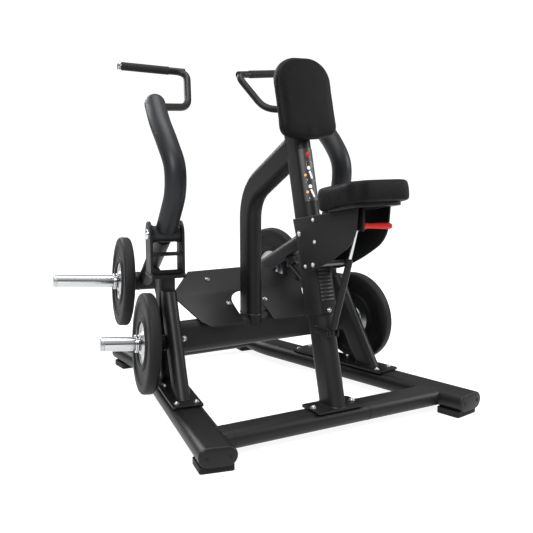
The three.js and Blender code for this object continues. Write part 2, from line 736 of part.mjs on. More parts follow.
function addSeat() {
  piece(machine, "seat_plate_left", fanPlate(-1), FRAME);
  piece(machine, "seat_plate_right", fanPlate(1), FRAME);
  piece(machine, "seat_pivot_pin", barX(PIN_R, -72, 72, SEAT_PIVOT.x, SEAT_PIVOT.y), CHROME);
  const seat = new THREE.Group();
  seat.position.set(0, SEAT_MID.x, SEAT_MID.y);
  seat.rotation.x = SEAT_TILT;
  machine.add(seat);
  piece(seat, "seat_board", seatBoard(), RUBBER);
  piece(seat, "seat_pad", pad(230, 239, 68, 48), VINYL).position.z = 12 + GAP;
}

function alongGas(distance) {
  const way = GAS_HEAD.clone().sub(GAS_FOOT).normalize();
  const at = GAS_FOOT.clone().addScaledVector(way, distance);
  return V(GAS_X, at.x, at.y);
}

const gasBar = (radius, from, to) =>
  sweep(disc(radius), straight(alongGas(from), alongGas(to)), V(1, 0, 0), 1, 6);

function addGasSpring() {
  const pinAt = (half, at) => barX(5, GAS_X - half, GAS_X + half, at.y, at.z, 12);
  const tube = trim(gasBar(11, 0, GAS_TUBE), gasBar(GAS_BORE_R, 60, GAS_TUBE + 10));
  piece(machine, "gas_cylinder", join(tube, pinAt(20, alongGas(0))), STEEL);
  const rod = join(gasBar(5, 150, GAS_REACH), pinAt(17, alongGas(GAS_REACH)));
  piece(machine, "gas_rod", rod, CHROME);
}

function addLever() {
  const path = straight(V(-34, -62, 701), V(49, -98, 699));
  piece(machine, "release_lever", roundBar(10, path, 1, 12), RED);
}

addBase();
addSides();
addMiddle();
addSeat();
addGasSpring();
addLever();

export default part;
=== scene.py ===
"""Looks of the plate-loaded row machine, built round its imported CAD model."""

import math

import bmesh
import bpy
from mathutils import Matrix, Vector


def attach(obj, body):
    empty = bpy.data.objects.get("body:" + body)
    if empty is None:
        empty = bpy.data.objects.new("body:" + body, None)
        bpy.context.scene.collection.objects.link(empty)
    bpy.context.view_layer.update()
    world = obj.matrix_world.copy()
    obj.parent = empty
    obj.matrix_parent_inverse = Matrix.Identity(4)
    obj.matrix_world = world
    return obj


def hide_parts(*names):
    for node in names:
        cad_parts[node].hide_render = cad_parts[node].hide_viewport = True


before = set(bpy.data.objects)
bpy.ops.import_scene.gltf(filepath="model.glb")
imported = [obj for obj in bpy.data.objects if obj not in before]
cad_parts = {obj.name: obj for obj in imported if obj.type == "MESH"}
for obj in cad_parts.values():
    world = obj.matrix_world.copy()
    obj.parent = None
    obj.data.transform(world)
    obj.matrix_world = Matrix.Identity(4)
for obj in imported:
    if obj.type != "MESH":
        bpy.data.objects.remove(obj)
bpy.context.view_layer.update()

# ---------- dimensions, in millimetres, y from the rear ends of the legs ----------
MM = 0.001
HALF_LENGTH = 570
HALF_TRACK = 492
SPLAY = math.radians(11.8)
TUBE_W, TUBE_T, MID_W = 120, 60, 104
FOOT_H = 22
LEG_Z = FOOT_H + TUBE_T / 2
LEG_TOP = FOOT_H + TUBE_T
POST_S, POST_TOP = 700, 470
PIVOT_S, PIVOT_Z = 690, 622
WORK_S, WORK_Z = 1100, 386
STORE_S, STORE_Z = 612, 245
HORN_TILT = math.radians(3.5)
DISC_IN = 67
DISC_T = 42
BEAM_Y, BEAM_Z = 668, 240
COLUMN_Y, COLUMN_Z, COLUMN_LEAN = 128, 90, 0.261
COLUMN_ANGLE = math.atan(COLUMN_LEAN)
PAD_Z = 1066
SEAT_Y, SEAT_Z, SEAT_TILT = -24, 747, math.radians(-10)
SEAT_PIVOT = (240, 648)
GAS_X = -14
GAS_FOOT, GAS_HEAD = Vector((GAS_X, 114, 335)), Vector((GAS_X, -24, 728))
ARM_R, BARREL_R, SHAFT_BORE = 38, 30, 16
WEIGHT_ARM_R, BOSS_R = 31, 37
MAST_Y, MAST_BEND_Z, MAST_SLOPE, MAST_REACH, MAST_BEND_R = 676, 752, 0.55, 345, 100
SPACER_Y, SPACER_Z = 156, 556
PAD_PRESSURE, PAD_SWELL = 1.5, 2.5
SIDES = (("left", -1), ("right", 1))

V = Vector
X, Y, Z = V((1, 0, 0)), V((0, 1, 0)), V((0, 0, 1))
MACHINE = Matrix.Translation((0, -HALF_LENGTH, 0))


# ---------- materials ----------
WORN_METAL = (0.42, 0.43, 0.44, 1)  # shows faintly on raised edges


def node_material(name, color, rough, metal=0.0, **extra):
    """A Principled surface with fine colour, roughness and height variation."""
    mat = bpy.data.materials.new(name)
    mat.use_nodes = True
    tree = mat.node_tree
    shader = tree.nodes["Principled BSDF"]
    shader.inputs["Metallic"].default_value = metal
    for socket, value in extra.get("sockets", {}).items():
        shader.inputs[socket].default_value = value

    def add(kind, **values):
        node = tree.nodes.new(kind)
        for key, value in values.items():
            node.inputs[key].default_value = value
        return node

    coords = tree.nodes.new("ShaderNodeTexCoord")
    broad = add("ShaderNodeTexNoise", Scale=extra.get("broad", 6.0), Detail=4.0)
    fine = add("ShaderNodeTexNoise", Scale=extra.get("fine", 900.0), Detail=2.0)
    for noise in (broad, fine):
        tree.links.new(coords.outputs["Object"], noise.inputs["Vector"])
    ramp = tree.nodes.new("ShaderNodeValToRGB")
    spread = extra.get("spread", 0.12)
    ramp.color_ramp.elements[0].position = 0.3
    ramp.color_ramp.elements[1].position = 0.7
    ramp.color_ramp.elements[0].color = [c * (1 - spread) for c in color] + [1]
    ramp.color_ramp.elements[1].color = [min(1, c * (1 + spread)) for c in color] + [1]
    tree.links.new(broad.outputs["Fac"], ramp.inputs["Fac"])
    base = ramp.outputs["Color"]
    if extra.get("wear"):
        edge = tree.nodes.new("ShaderNodeNewGeometry")
        worn = tree.nodes.new("ShaderNodeMapRange")
        worn.inputs["From Min"].default_value = 0.56
        worn.inputs["From Max"].default_value = 0.72
        worn.inputs["To Max"].default_value = extra["wear"]
        tree.links.new(edge.outputs["Pointiness"], worn.inputs["Value"])
        mix = tree.nodes.new("ShaderNodeMix")
        mix.data_type = "RGBA"
        mix.inputs["B"].default_value = WORN_METAL
        tree.links.new(worn.outputs["Result"], mix.inputs["Factor"])
        tree.links.new(base, mix.inputs["A"])
        base = mix.outputs["Result"]
    tree.links.new(base, shader.inputs["Base Color"])
    gloss = tree.nodes.new("ShaderNodeMapRange")
    gloss.inputs["To Min"].default_value = rough - extra.get("gloss", 0.06)
    gloss.inputs["To Max"].default_value = rough + extra.get("gloss", 0.06)
    tree.links.new(fine.outputs["Fac"], gloss.inputs["Value"])
    tree.links.new(gloss.outputs["Result"], shader.inputs["Roughness"])
    height = fine.outputs["Fac"]
    if extra.get("grain"):
        cells = add("ShaderNodeTexVoronoi", Scale=extra["grain"])
        cells.feature = "DISTANCE_TO_EDGE"
        tree.links.new(coords.outputs["Object"], cells.inputs["Vector"])
        creases = tree.nodes.new("ShaderNodeMapRange")
        creases.inputs["From Max"].default_value = 0.12
        tree.links.new(cells.outputs["Distance"], creases.inputs["Value"])
        height = creases.outputs["Result"]
    bump = add("ShaderNodeBump", Strength=extra.get("bump", 0.12),
               Distance=extra.get("deep", 0.0004))
    tree.links.new(height, bump.inputs["Height"])
    tree.links.new(bump.outputs["Normal"], shader.inputs["Normal"])
    return mat


COAT = node_material(
    "charcoal_coat", (0.0038, 0.0039, 0.0042), 0.42, 0, wear=0.06, fine=900, bump=0.12,
    sockets={"Specular IOR Level": 0.2})
ARM_COAT = node_material(
    "arm_coat", (0.0085, 0.0092, 0.0115), 0.44, 0, wear=0.06, fine=900, bump=0.1,
    sockets={"Specular IOR Level": 0.25})
# matte rubber, also used as painted shade in the cover's louvre gaps
RUBBER_AND_GAP_SHADE = node_material(
    "matte_rubber_and_gap_shade", (0.0065, 0.0065, 0.0068), 0.6, 0, bump=0.3, fine=700,
    sockets={"Specular IOR Level": 0.2})
PLASTIC = node_material(
    "cap_plastic", (0.007, 0.007, 0.0074), 0.42, 0, bump=0.15,
    sockets={"Specular IOR Level": 0.22})
VINYL = node_material(
    "grained_vinyl", (0.0028, 0.0028, 0.003), 0.5, 0, grain=420, bump=0.35, deep=0.0005,
    sockets={"Specular IOR Level": 0.09})
GREY_PLASTIC = node_material("louvre_plastic", (0.02, 0.02, 0.021), 0.35, 0, bump=0.1)
CHROME = node_material("chrome", (0.5, 0.51, 0.52), 0.16, 1, bump=0.02, gloss=0.03, spread=0.03)
STEEL = node_material("brushed_steel", (0.45, 0.46, 0.47), 0.32, 1, bump=0.08, spread=0.08)
RED = node_material(
    "red_grip", (0.38, 0.004, 0.003), 0.34, 0, bump=0.05, sockets={"Specular IOR Level": 0.4})
# the carrier spacer is chrome; this darker metal is painted shade for its place between the carrier
# plates
SHADED_SPACER_CHROME = node_material("spacer_chrome_painted_shade", (0.12, 0.12, 0.125), 0.4, 0.9)
PRINT = node_material("placard_print", (0.012, 0.012, 0.013), 0.45, 0, bump=0.03)
MARK_WHITE = node_material("mark_white", (0.8, 0.8, 0.78), 0.5, 0, bump=0.03)
MARK_ORANGE = node_material("mark_orange", (0.75, 0.3, 0.06), 0.5, 0, bump=0.03)


# ---------- outlines and solids: a solid is (points, faces) ----------
def arc(cx, cy, r, a0, a1, n):
    return [(cx + r * math.cos(a0 + (a1 - a0) * i / n), cy + r * math.sin(a0 + (a1 - a0) * i / n))
            for i in range(n + 1)]


def circle(r, n=40, cx=0.0, cy=0.0):
    return arc(cx, cy, r, 0, 2 * math.pi, n)[:-1]


def oval(long, wide, n=20):
    r = wide / 2
    half = long / 2 - r
    return arc(half, 0, r, -math.pi / 2, math.pi / 2, n) + arc(
        -half, 0, r, math.pi / 2, 1.5 * math.pi, n)


def rounded(width, depth, r, n=6):
    x, y = width / 2 - r, depth / 2 - r
    corners = ((x, y), (-x, y), (-x, -y), (x, -y))
    return [p for i, (cx, cy) in enumerate(corners)
            for p in arc(cx, cy, r, i * math.pi / 2, (i + 1) * math.pi / 2, n)]


def loft(rings, closed=False):
    """Joins rings of equal length into a skin, with end faces unless it closes on itself."""
    n = len(rings[0])
    points = [V(p) for ring in rings for p in ring]
    faces = []
    count = len(rings)
    for k in range(count if closed else count - 1):
        a, b = k * n, ((k + 1) % count) * n
        faces += [(a + i, a + (i + 1) % n, b + (i + 1) % n, b + i) for i in range(n)]
    if not closed:
        faces += [tuple(range(n))[::-1], tuple(range((count - 1) * n, count * n))]
    return points, faces


def sweep(section, path, across, scale=None):
    """Sweeps a section along a path; the section's y stays along `across`."""
    rings = []
    for k, p in enumerate(path):
        t = (path[min(k + 1, len(path) - 1)] - path[max(k - 1, 0)]).normalized()
        normal = across.cross(t).normalized()
        grow = scale[k] if scale else 1
        rings.append([p + normal * x * grow + across * y * grow for x, y in section])
    return loft(rings)


def between(section, start, way, across, plane0, plane1):
    """A straight tube cut off on two level planes, z = plane0 and z = plane1."""
    normal = across.cross(way).normalized()
    rings = []
    for level in (plane0, plane1):
        ring = []
        for x, y in section:
            p = start + normal * x + across * y
            ring.append(p + way * ((level - p.z) / way.z))
        rings.append(ring)
    return loft(rings)


def extrude(outline, thick, place):
    """An outline drawn in x and y, `thick` along z, set down by `place`."""
    rings = [[place @ V((x, y, h)) for x, y in outline] for h in (0, thick)]
    return loft(rings)


def slab_z(outline, thick, bottom, x=0.0, y=0.0):
    return extrude(outline, thick, Matrix.Translation((x, y, bottom)))


YZ = Matrix(((0, 0, 1, 0), (1, 0, 0, 0), (0, 1, 0, 0), (0, 0, 0, 1)))


def slab_x(outline, thick, middle):
    return extrude(outline, thick, Matrix.Translation((middle - thick / 2, 0, 0)) @ YZ)


def box(x0, x1, y0, y1, z0, z1):
    outline = [(x0, y0), (x1, y0), (x1, y1), (x0, y1)]
    return extrude(outline, z1 - z0, Matrix.Translation((0, 0, z0)))


def turn(profile, place, n=56):
    """Revolves (radius, height) pairs about z; the profile ends on the axis or on itself."""
    rings = [[place @ V((r * math.cos(2 * math.pi * i / n), r * math.sin(2 * math.pi * i / n), h))
              for i in range(n)] for r, h in profile]
    return loft(rings, closed=profile[0] == profile[-1] or profile[0][0] > 0 and profile[-1][0] > 0)


def along(axis, at):
    """A frame at a point with z along an axis."""
    return Matrix.Translation(at) @ V(axis).to_track_quat("Z", "Y").to_matrix().to_4x4()


def rod(radius, a, b, n=32, ease=1.0):
    """A round bar with softened ends."""
    a, b = V(a), V(b)
    length = (b - a).length
    e = min(ease, radius / 2, length / 3)
    profile = [(0.001, 0), (radius - e, 0), (radius, e), (radius, length - e),
               (radius - e, length), (0.001, length)]
    return turn(profile + profile[:1], along(b - a, a), n)


def ring(outer, inner, thick, place, ease=1.0, n=56):
    profile = [(inner, ease), (inner + ease, 0), (outer - ease, 0), (outer, ease),
               (outer, thick - ease), (outer - ease, thick), (inner + ease, thick),
               (inner, thick - ease)]
    return turn(profile + profile[:1], place, n)


def rounded_path(points, radius, n=10):
    out = [V(points[0])]
    for before, corner, after in zip(points, points[1:], points[2:]):
        a = corner + (before - corner).normalized() * radius
        b = corner + (after - corner).normalized() * radius
        out += [a.lerp(corner, i / n).lerp(corner.lerp(b, i / n), i / n) for i in range(n + 1)]
    return out + [V(points[-1])]


def spline(points, n=10):
    """A centripetal Catmull-Rom curve through the points."""
    ends = [points[0] * 2 - points[1]] + list(points) + [points[-1] * 2 - points[-2]]
    out = []
    for p0, p1, p2, p3 in zip(ends, ends[1:], ends[2:], ends[3:]):
        t0 = 0.0
        t1 = t0 + (p1 - p0).length ** 0.5
        t2 = t1 + (p2 - p1).length ** 0.5
        t3 = t2 + (p3 - p2).length ** 0.5
        for i in range(n):
            t = t1 + (t2 - t1) * i / n
            a1 = p0.lerp(p1, (t - t0) / (t1 - t0))
            a2 = p1.lerp(p2, (t - t1) / (t2 - t1))
            a3 = p2.lerp(p3, (t - t2) / (t3 - t2))
            b1 = a1.lerp(a2, (t - t0) / (t2 - t0))
            b2 = a2.lerp(a3, (t - t1) / (t3 - t1))
            out.append(b1.lerp(b2, (t - t1) / (t2 - t1)))
    return out + [V(points[-1])]


def bead(loop, radius=3.0, n=6):
    """A weld bead round a closed loop of points."""
    rings = []
    count = len(loop)
    middle = sum(loop, V((0, 0, 0))) / count
    for k, p in enumerate(loop):
        t = (loop[(k + 1) % count] - loop[k - 1]).normalized()
        out = (p - middle)
        out = (out - t * out.dot(t)).normalized()
        up = t.cross(out)
        wave = 1 + 0.12 * math.sin(k * 2.1)
        rings.append([p + (out * math.cos(a) + up * math.sin(a)) * radius * wave
                      for a in (2 * math.pi * i / n for i in range(n))])
    return loft(rings, closed=True)


def piece(name, body, material, solids, nodes=(), place=MACHINE, bevel=0.0, angle=35, smooth=True):
    """Makes one visible piece, in metres, from solids drawn in millimetres."""
    bm = bmesh.new()
    for points, faces in solids:
        verts = [bm.verts.new((place @ p) * MM) for p in points]
        for face in faces:
            bm.faces.new([verts[i] for i in face])
    bmesh.ops.remove_doubles(bm, verts=bm.verts, dist=1e-6)
    bmesh.ops.dissolve_degenerate(bm, edges=bm.edges, dist=1e-6)
    bmesh.ops.recalc_face_normals(bm, faces=bm.faces)
    mesh = bpy.data.meshes.new(name)
    bm.to_mesh(mesh)
    bm.free()
    obj = bpy.data.objects.new(name, mesh)
    bpy.context.scene.collection.objects.link(obj)
    if bevel:
        mod = obj.modifiers.new("bevel", "BEVEL")
        mod.width = bevel * MM
        mod.segments = 3
        mod.limit_method = "ANGLE"
        mod.angle_limit = math.radians(40)
        mod.harden_normals = False
        bake(obj)
    for polygon in obj.data.polygons:
        polygon.use_smooth = smooth
    obj.data.set_sharp_from_angle(angle=math.radians(angle))
    obj.data.materials.append(material)
    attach(obj, body)
    if nodes:
        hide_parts(*nodes)
    return obj


def bake(obj):
    """Applies an object's modifiers to its mesh."""
    depsgraph = bpy.context.evaluated_depsgraph_get()
    mesh = bpy.data.meshes.new_from_object(obj.evaluated_get(depsgraph))
    obj.modifiers.clear()
    obj.data = mesh


def side_place(sign):
    turned = Matrix.Rotation(sign * SPLAY, 4, "Z")
    return MACHINE @ Matrix.Translation((sign * HALF_TRACK, 0, 0)) @ turned


def bolt(at, axis, r=9.0, washer=True):
    """A button-head bolt with a hexagon socket, on a washer."""
    place = along(axis, at)
    out = [ring(r * 1.35, r * 0.5, 1.6, place, 0.4, 28)] if washer else []
    h = 1.6 if washer else 0.0
    profile = [(0.45 * r, h + 0.62 * r), (0.55 * r, h + 0.68 * r), (0.85 * r, h + 0.5 * r),
               (r, h + 0.2 * r), (r, h), (0.45 * r, h)]
    out.append(turn(profile + profile[:1], place, 28))
    socket = [place @ V((0.44 * r * math.cos(math.pi * i / 3),
                         0.44 * r * math.sin(math.pi * i / 3), z))
              for z in (h + 0.1, h + 0.25 * r) for i in range(6)]
    out.append(loft([socket[:6], socket[6:]]))
    return out


# ---------- base ----------
def leg_path(sign):
    knee = V((0, 1040, LEG_Z))
    way = V((sign * math.sin(math.radians(14)), math.cos(math.radians(14)), 0))
    return rounded_path([V((0, 0, LEG_Z)), knee, knee + way * 248], 60), way


def end_cap(at, way):
    """A moulded plug in a leg's end; cap_screws draws its two screws."""
    path = [at + way * d for d in (0.3, 3, 5.5, 7.3, 8.3)]
    solids = [sweep(oval(TUBE_W, TUBE_T), path, Z, [1, 1, 0.985, 0.955, 0.9])]
    return solids


def cap_screws(at, way):
    side = Z.cross(way).normalized()
    return [part for x in (-36, 36)
            for part in (ring(6.5, 4.6, 1.2, along(way, at + way * 8.1 + side * x), 0.4, 24),
                         rod(3.6, at + way * 7.6 + side * x, at + way * 8.8 + side * x, 12, 0.4))]


def foot_block(at, way):
    place = Matrix.Translation(V((at.x, at.y, 0)) - way * 52) @ Matrix.Rotation(
        math.atan2(-way.x, way.y), 4, "Z")
    rings = []
    for z, grow in ((0, 0.985), (1.5, 1), (9, 1), (9.8, 0.985), (11, 0.985), (11.8, 1), (21.7, 1)):
        rings.append([place @ V((x * grow, y * grow, z)) for x, y in rounded(108, 92, 8)])
    return loft(rings)


def add_base():
    for side, sign in SIDES:
        place = side_place(sign)
        path, way = leg_path(sign)
        piece(f"leg_tube_{side}", "base", COAT, [sweep(oval(TUBE_W, TUBE_T), path, Z)],
              [f"leg_{side}"], place)
        for spot, at, out in (("rear", path[0], -Y), ("front", path[-1], way)):
            piece(f"end_plug_{spot}_{side}", "base", PLASTIC, end_cap(at, out),
                  [f"leg_cap_{spot}_{side}"], place)
            piece(f"plug_screws_{spot}_{side}", "base", RUBBER_AND_GAP_SHADE, cap_screws(at, out), (), place)
            piece(f"floor_pad_{spot}_{side}", "base", RUBBER_AND_GAP_SHADE, [foot_block(at, out)],
                  [f"foot_{spot}_{side}"], place)
    rows = (("rear", 125, 430, (-394, 118)), ("front", 1184, 245, (-150, 150)))
    for spot, y, half, joints in rows:
        line = [V((-half, y, LEG_Z)), V((half, y, LEG_Z))]
        piece(f"tie_tube_{spot}", "base", COAT, [sweep(oval(106, TUBE_T), line, Z)],
              [f"cross_tube_{spot}"])
        seams = [sweep(oval(107.2, TUBE_T + 1.2),
                       [V((x - 1.2, y, LEG_Z)), V((x + 1.2, y, LEG_Z))], Z) for x in joints]
        piece(f"tie_seams_{spot}", "base", RUBBER_AND_GAP_SHADE, seams)


# ---------- side posts, pivots and arms ----------
def under_weight_arm(drop):
    way = V((0, WORK_S - PIVOT_S, WORK_Z - PIVOT_Z)).normalized()
    away = V((0, way.z, -way.y))
    return V((0, PIVOT_S, PIVOT_Z)) + way * 262 + away * (31 + drop)


def level_loop(outline, x, y, z):
    return [V((px + x, py + y, z)) for px, py in outline]


def add_post(side, sign, place):
    post_outline = [(y, x) for x, y in oval(110, TUBE_T)]
    solids = [slab_z(post_outline, POST_TOP - LEG_TOP - 4, LEG_TOP + 4, 0, POST_S)]
    solids.append(bead(level_loop(post_outline, 0, POST_S, LEG_TOP + 8.5), 3.5))
    piece(f"post_tube_{side}", "base", COAT, solids, (), place)
    foot = [slab_z(rounded(104, 216, 10), 8, LEG_TOP + 0.3, 0, 727)]
    piece(f"post_plate_{side}", "base", COAT, foot, [f"post_{side}"], place, 1.2)
    seat = rod(26, under_weight_arm(26.6), under_weight_arm(35), 40)
    bar = rod(14, V((0, POST_S + 40, 330)), under_weight_arm(34), 32)
    nut = rod(19, V((0, POST_S + 54, 344)).lerp(under_weight_arm(34), 0.02),
              V((0, POST_S + 54, 344)).lerp(under_weight_arm(34), 0.12), 6)
    piece(f"stop_arm_{side}", "base", COAT, [seat, bar, nut], (), place)
    a, b = under_weight_arm(0.3), under_weight_arm(26.3)
    profile = [(0.001, 0), (17, 0), (20, 2), (22, 7), (19.5, 13), (22, 19), (22, 25), (20, 26),
               (0.001, 26)]
    piece(f"bump_stop_{side}", "base", RUBBER_AND_GAP_SHADE, [turn(profile + profile[:1], along(b - a, a))],
          [f"stop_bumper_{side}"], place)

    way = V((0, 180, 314)).normalized()
    start = V((0, 465, LEG_TOP + 4))
    foot_ring = between(oval(90, 50), start, way, X, LEG_TOP + 8.5, LEG_TOP + 9)[0]
    tube = between(oval(90, 50), start, way, X, LEG_TOP + 4, 425)
    boss = rod(26, (-sign * 6, STORE_S, STORE_Z), (sign * (DISC_IN - 1), STORE_S, STORE_Z), 40)
    web = box(-6, 6, STORE_S - 40, POST_S - 55, STORE_Z - 40, STORE_Z + 40)
    plate = slab_z(rounded(104, 256, 10), 8, LEG_TOP + 0.3, 0, 484)
    piece(f"brace_tube_{side}", "base", COAT,
          [tube, bead(foot_ring[:len(foot_ring) // 2], 3.5), boss,
           bead([V((sign * 25, STORE_S + 27 * math.cos(a), STORE_Z + 27 * math.sin(a)))
                 for a in (2 * math.pi * i / 32 for i in range(32))], 2.5)], (), place)
    piece(f"brace_plate_{side}", "base", COAT, [web, plate], [f"brace_{side}"], place, 1.2)
    bolts = []
    for s in (390, 600, 810):
        for x in (-34, 34):
            bolts += bolt(V((x, s, LEG_TOP + 8.3)), Z, 8)
    piece(f"foot_bolts_{side}", "base", STEEL, bolts, (), place)


def add_bracket(side, place):
    half, t, r = 52, 10, 46
    cheek = [(PIVOT_S - r, POST_TOP + 6), (PIVOT_S + r, POST_TOP + 6)]
    cheek += arc(PIVOT_S, PIVOT_Z, r, 0, math.pi, 28)
    solids = [slab_x(cheek, t, s * (half + t / 2)) for s in (-1, 1)]
    solids.append(slab_z(rounded(2 * (half + t), 128, 10), 12, POST_TOP, 0, PIVOT_S))
    shelf = (PIVOT_S - r + 2, PIVOT_S - 2, 548, 557)
    solids.append(box(-half - 8, half + 8, *shelf))
    solids.append(box(-half - 8, half + 8, PIVOT_S - r + 6, PIVOT_S - r + 14,
                      POST_TOP + 4, POST_TOP + 26))
    piece(f"bracket_{side}", "base", COAT, solids, [f"pivot_bracket_{side}"], place, 1.5)
    beads = [bead([V((s * (half + t / 2) + dx, PIVOT_S + dy, POST_TOP + 12)) for dx, dy in
                   rounded(t, 2 * r, 4.9, 4)], 2.5) for s in (-1, 1)]
    piece(f"bracket_welds_{side}", "base", COAT, beads, (), place)
    edge = half + t + 0.3
    solids = [rod(15, (-edge - 2, PIVOT_S, PIVOT_Z), (edge + 2, PIVOT_S, PIVOT_Z), 40)]
    for s in (-1, 1):
        at = V((s * edge, PIVOT_S, PIVOT_Z))
        profile = [(0.001, 7), (12, 7), (17, 5), (19, 1.5), (19, 0), (0.001, 0)]
        solids.append(turn(profile + profile[:1], along((s, 0, 0), at), 40))
    piece(f"pivot_pin_{side}", "base", CHROME, solids, [f"pivot_shaft_{side}"], place)


def add_arm(side, sign, place):
    body = f"arm_{side}"
    bow = [V((-sign * x, s, z)) for x, s, z in (
        (0, 690, 622), (9, 640, 690), (20, 600, 775), (20, 600, 862), (9, 656, 940),
        (0, 740, 1014), (0, 822, 1080))]
    line = [p for p in spline(bow) if (p - bow[0]).length > 27]
    way = (line[-1] - line[-2]).normalized()
    for i in range(1, 9):
        line.append(bow[-1] + way * ARM_R * math.sin(i * math.pi / 16))
    scale = [1.0] * (len(line) - 8) + [max(0.04, math.cos(i * math.pi / 16)) for i in range(1, 9)]
    piece(f"lever_{side}", body, ARM_COAT, [sweep(circle(ARM_R), line, X, scale)],
          [f"arm_{side}"], place)
    barrel = [ring(BARREL_R, SHAFT_BORE, 102, along(X, (-51, PIVOT_S, PIVOT_Z)), 2)]
    barrel += [ring(BARREL_R + 3, BARREL_R - 1, 8, along(X, (x, PIVOT_S, PIVOT_Z)), 1.5)
               for x in (-51, 43)]
    piece(f"lever_barrel_{side}", body, ARM_COAT, barrel, (), place)
    a, b = V((0, PIVOT_S, PIVOT_Z)), V((0, WORK_S, WORK_Z))
    reach = DISC_IN - 1
    boss = rod(BOSS_R, (-sign * 36, WORK_S, WORK_Z), (sign * reach, WORK_S, WORK_Z), 48, 2)
    hub_weld = bead([V((sign * 30, WORK_S + 37.5 * math.cos(t), WORK_Z + 37.5 * math.sin(t)))
                     for t in (2 * math.pi * i / 40 for i in range(40))], 1.5)
    piece(f"load_lever_{side}", body, ARM_COAT,
          [rod(WEIGHT_ARM_R, a.lerp(b, 0.062), b, 48), boss, hub_weld],
          [f"weight_arm_{side}"], place)
    add_handle(side, sign, place, body)


def grip_point(sign, off):
    return V((sign * off, 1044, 1217 + (off + 118) * 0.07))


def add_handle(side, sign, place, body):
    points = [V((sign * -18, 806, 1070)), V((sign * -142, 905, 1074)),
              V((sign * -172, 1040, 1213)), grip_point(sign, -118), grip_point(sign, 86)]
    line = rounded_path(points, 46)
    dense = []
    for p, q in zip(line, line[1:]):
        steps = max(1, int((q - p).length / 12))
        dense += [p.lerp(q, i / steps) for i in range(steps)]
    dense.append(line[-1])
    # a parallel-transport frame keeps the round section from twisting
    rings, normal = [], V((0, 0, 1))
    for k, p in enumerate(dense):
        t = (dense[min(k + 1, len(dense) - 1)] - dense[max(k - 1, 0)]).normalized()
        normal = (normal - t * normal.dot(t)).normalized()
        other = t.cross(normal)
        rings.append([p + normal * x + other * y for x, y in circle(14, 28)])
    piece(f"handle_bar_{side}", body, COAT, [loft(rings)], [f"handle_{side}"], place)
    a, b = grip_point(sign, -100), grip_point(sign, 82)
    length = (b - a).length
    profile = [(14.3, 0), (15.2, 0), (16.2, 1.5), (16.2, 5)]
    count = 22
    for i in range(count):
        base = 8 + (length - 16) * i / count
        profile += [(15.3, base), (15.9, base + 1.4), (15.9, base + 5.4), (15.3, base + 6.8)]
    profile += [(16.2, length - 5), (16.2, length - 1.5), (15.2, length), (14.3, length)]
    piece(f"grip_sleeve_{side}", body, RUBBER_AND_GAP_SHADE, [turn(profile + profile[:1], along(b - a, a), 40)],
          [f"grip_{side}"], place)
    a, b = grip_point(sign, 86.5), grip_point(sign, 98)
    profile = [(0.001, 0), (16, 0), (16.6, 1), (16.6, 8), (14.5, 10.6), (8, 11.4), (0.001, 11.5)]
    piece(f"grip_end_{side}", body, CHROME, [turn(profile + profile[:1], along(b - a, a), 40)],
          [f"grip_cap_{side}"], place)


def add_load(side, sign, place):
    """Horns, discs and collars; each horn's own line is its z here."""
    rows = (("work", WORK_S, WORK_Z, 300, f"arm_{side}", f"work_load_{side}"),
            ("storage", STORE_S, STORE_Z, 186, "base", f"stored_load_{side}"))
    for use, s, z, length, holder, load in rows:
        way = V((sign * math.cos(HORN_TILT), 0, math.sin(HORN_TILT)))
        root = place @ along(way, (sign * (DISC_IN - 1), s, z))
        profile = [(0.001, 2.2), (24, 2.2), (25, 3.4), (25, length - 15), (0.001, length - 15)]
        piece(f"{use}_sleeve_{side}", holder, CHROME,
              [turn(profile + profile[:1], Matrix.Identity(4), 48)], [f"{use}_horn_{side}"], root)
        profile = [(0.001, length - 15), (24.2, length - 15), (25, length - 14), (25, length - 4),
                   (22.5, length - 0.8), (0.001, length)]
        piece(f"{use}_sleeve_cap_{side}", holder, STEEL,
              [turn(profile + profile[:1], Matrix.Identity(4), 48)], (), root)
        m, h = 3 + DISC_T / 2, DISC_T / 2
        face = [(76, h - 8), (78, h - 1.5), (81, h), (92, h), (96, h - 2), (98, h - 6),
                 (140, h - 6),
                (144, h - 4), (147, h), (168, h), (173, h - 1.5), (176.5, h - 5), (178, h - 10)]
        profile = [(r, m + y) for r, y in face] + [(r, m - y) for r, y in reversed(face)]
        piece(f"{use}_plate_{side}", load, RUBBER_AND_GAP_SHADE,
              [turn(profile + profile[:1], Matrix.Identity(4), 96)], [f"{use}_disc_{side}"], root)
        face = [(26, h - 1), (27.5, h), (36, h), (39, h - 3), (42, h - 8), (70, h - 9),
                 (73, h - 6.5),
                (76.2, h - 6.5)]
        profile = [(r, m + y) for r, y in face] + [(r, m - y) for r, y in reversed(face)]
        piece(f"{use}_plate_hub_{side}", load, STEEL,
              [turn(profile + profile[:1], Matrix.Identity(4), 72)], (), root)
        add_collar(use, side, load, root)


